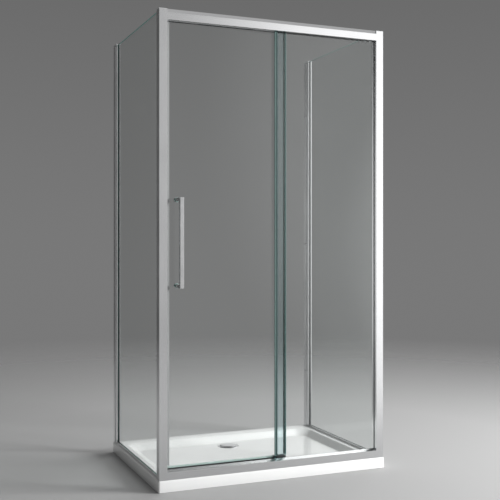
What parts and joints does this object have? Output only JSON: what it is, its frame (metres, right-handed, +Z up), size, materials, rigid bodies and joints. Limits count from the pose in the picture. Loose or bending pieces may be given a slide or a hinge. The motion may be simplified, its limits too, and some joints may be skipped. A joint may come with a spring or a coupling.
{
  "type": "shower enclosure",
  "caption": "Three-sided glass shower enclosure with a sliding door, fixed side panes, metal frame and a low tray with its waste.",
  "frame": {"origin": "middle of the tray's underside", "axes": "+X left to right seen from outside the front, +Y from the front to the wall, +Z up"},
  "size_m": [1.1, 0.834, 2.05],
  "materials": {
    "aluminium": "satin",
    "glass": "polished",
    "tray": "gloss",
    "chrome": "polished",
    "steel": "satin",
    "rubber": "matte",
    "clear_seal": "gloss",
    "black_plastic": "matte",
    "grey_plastic": "satin",
    "white_plastic": "satin"
  },
  "bodies": {
    "enclosure": {"shower_tray": "tray", "waste_flange": "chrome", "waste_seal_upper": "rubber", "waste_seal_lower": "rubber", "waste_backnut": "white_plastic", "waste_strainer": "grey_plastic", "corner_post_left": "aluminium", "corner_post_right": "aluminium", "post_caps": "grey_plastic", "wall_channel_left": "aluminium", "wall_channel_right": "aluminium", "wall_jamb_left": "aluminium", "wall_jamb_right": "aluminium", "wall_caps": "grey_plastic", "jamb_screws": "steel", "jamb_screw_caps": "chrome", "side_glass_left": "glass", "side_glass_right": "glass", "side_gaskets_left": "rubber", "side_gaskets_right": "rubber", "side_sill_left": "aluminium", "side_sill_right": "aluminium", "header_rail": "aluminium", "bottom_rail": "aluminium", "rail_infill": "aluminium", "header_infill": "grey_plastic", "rail_end_blocks": "grey_plastic", "header_end_blocks": "grey_plastic", "corner_screws": "steel", "fixed_front_glass": "glass", "fixed_glass_gaskets": "rubber", "setting_blocks": "black_plastic", "fixed_edge_seal": "clear_seal", "guide_block": "black_plastic", "guide_screws": "steel", "strike_strip": "grey_plastic", "track_stop_open": "rubber", "track_stop_closed": "rubber"},
    "door": {"door_glass": "glass", "door_magnet_seal": "clear_seal", "door_edge_seal": "clear_seal", "door_bottom_seal": "rubber", "handle_bar": "chrome", "handle_legs": "chrome", "handle_washers": "clear_seal", "handle_knobs": "chrome", "handle_screws": "steel", "roller_bracket_left": "steel", "roller_bracket_right": "steel", "bracket_pads": "grey_plastic", "bracket_bolts": "steel", "roller_axles": "steel", "anti_lift_clips": "white_plastic"},
    "roller_1": {"roller_1": "white_plastic"},
    "roller_2": {"roller_2": "white_plastic"},
    "roller_3": {"roller_3": "white_plastic"},
    "roller_4": {"roller_4": "white_plastic"},
    "waste_lid": {"waste_cover": "chrome"}
  },
  "joints": [
    {"name": "door_slide", "type": "slide", "parent": "enclosure", "child": "door", "axis": [1, 0, 0], "range_m": [0, 0.43]},
    {"name": "roller_1_spin", "type": "hinge", "parent": "door", "child": "roller_1", "pos_m": [-0.416, -0.3485, 2.0292], "axis": [0, 1, 0], "continuous": true},
    {"name": "roller_2_spin", "type": "hinge", "parent": "door", "child": "roller_2", "pos_m": [-0.372, -0.3485, 2.0292], "axis": [0, 1, 0], "continuous": true},
    {"name": "roller_3_spin", "type": "hinge", "parent": "door", "child": "roller_3", "pos_m": [-0.072, -0.3485, 2.0292], "axis": [0, 1, 0], "continuous": true},
    {"name": "roller_4_spin", "type": "hinge", "parent": "door", "child": "roller_4", "pos_m": [-0.028, -0.3485, 2.0292], "axis": [0, 1, 0], "continuous": true},
    {"name": "cover_lift", "type": "slide", "parent": "enclosure", "child": "waste_lid", "axis": [0, 0, 1], "range_m": [0, 0.05]}
  ],
  "couplings": [
    {"joint": "roller_1_spin", "follows": "door_slide", "rad_per_m": 100},
    {"joint": "roller_2_spin", "follows": "door_slide", "rad_per_m": 100},
    {"joint": "roller_3_spin", "follows": "door_slide", "rad_per_m": 100},
    {"joint": "roller_4_spin", "follows": "door_slide", "rad_per_m": 100}
  ]
}
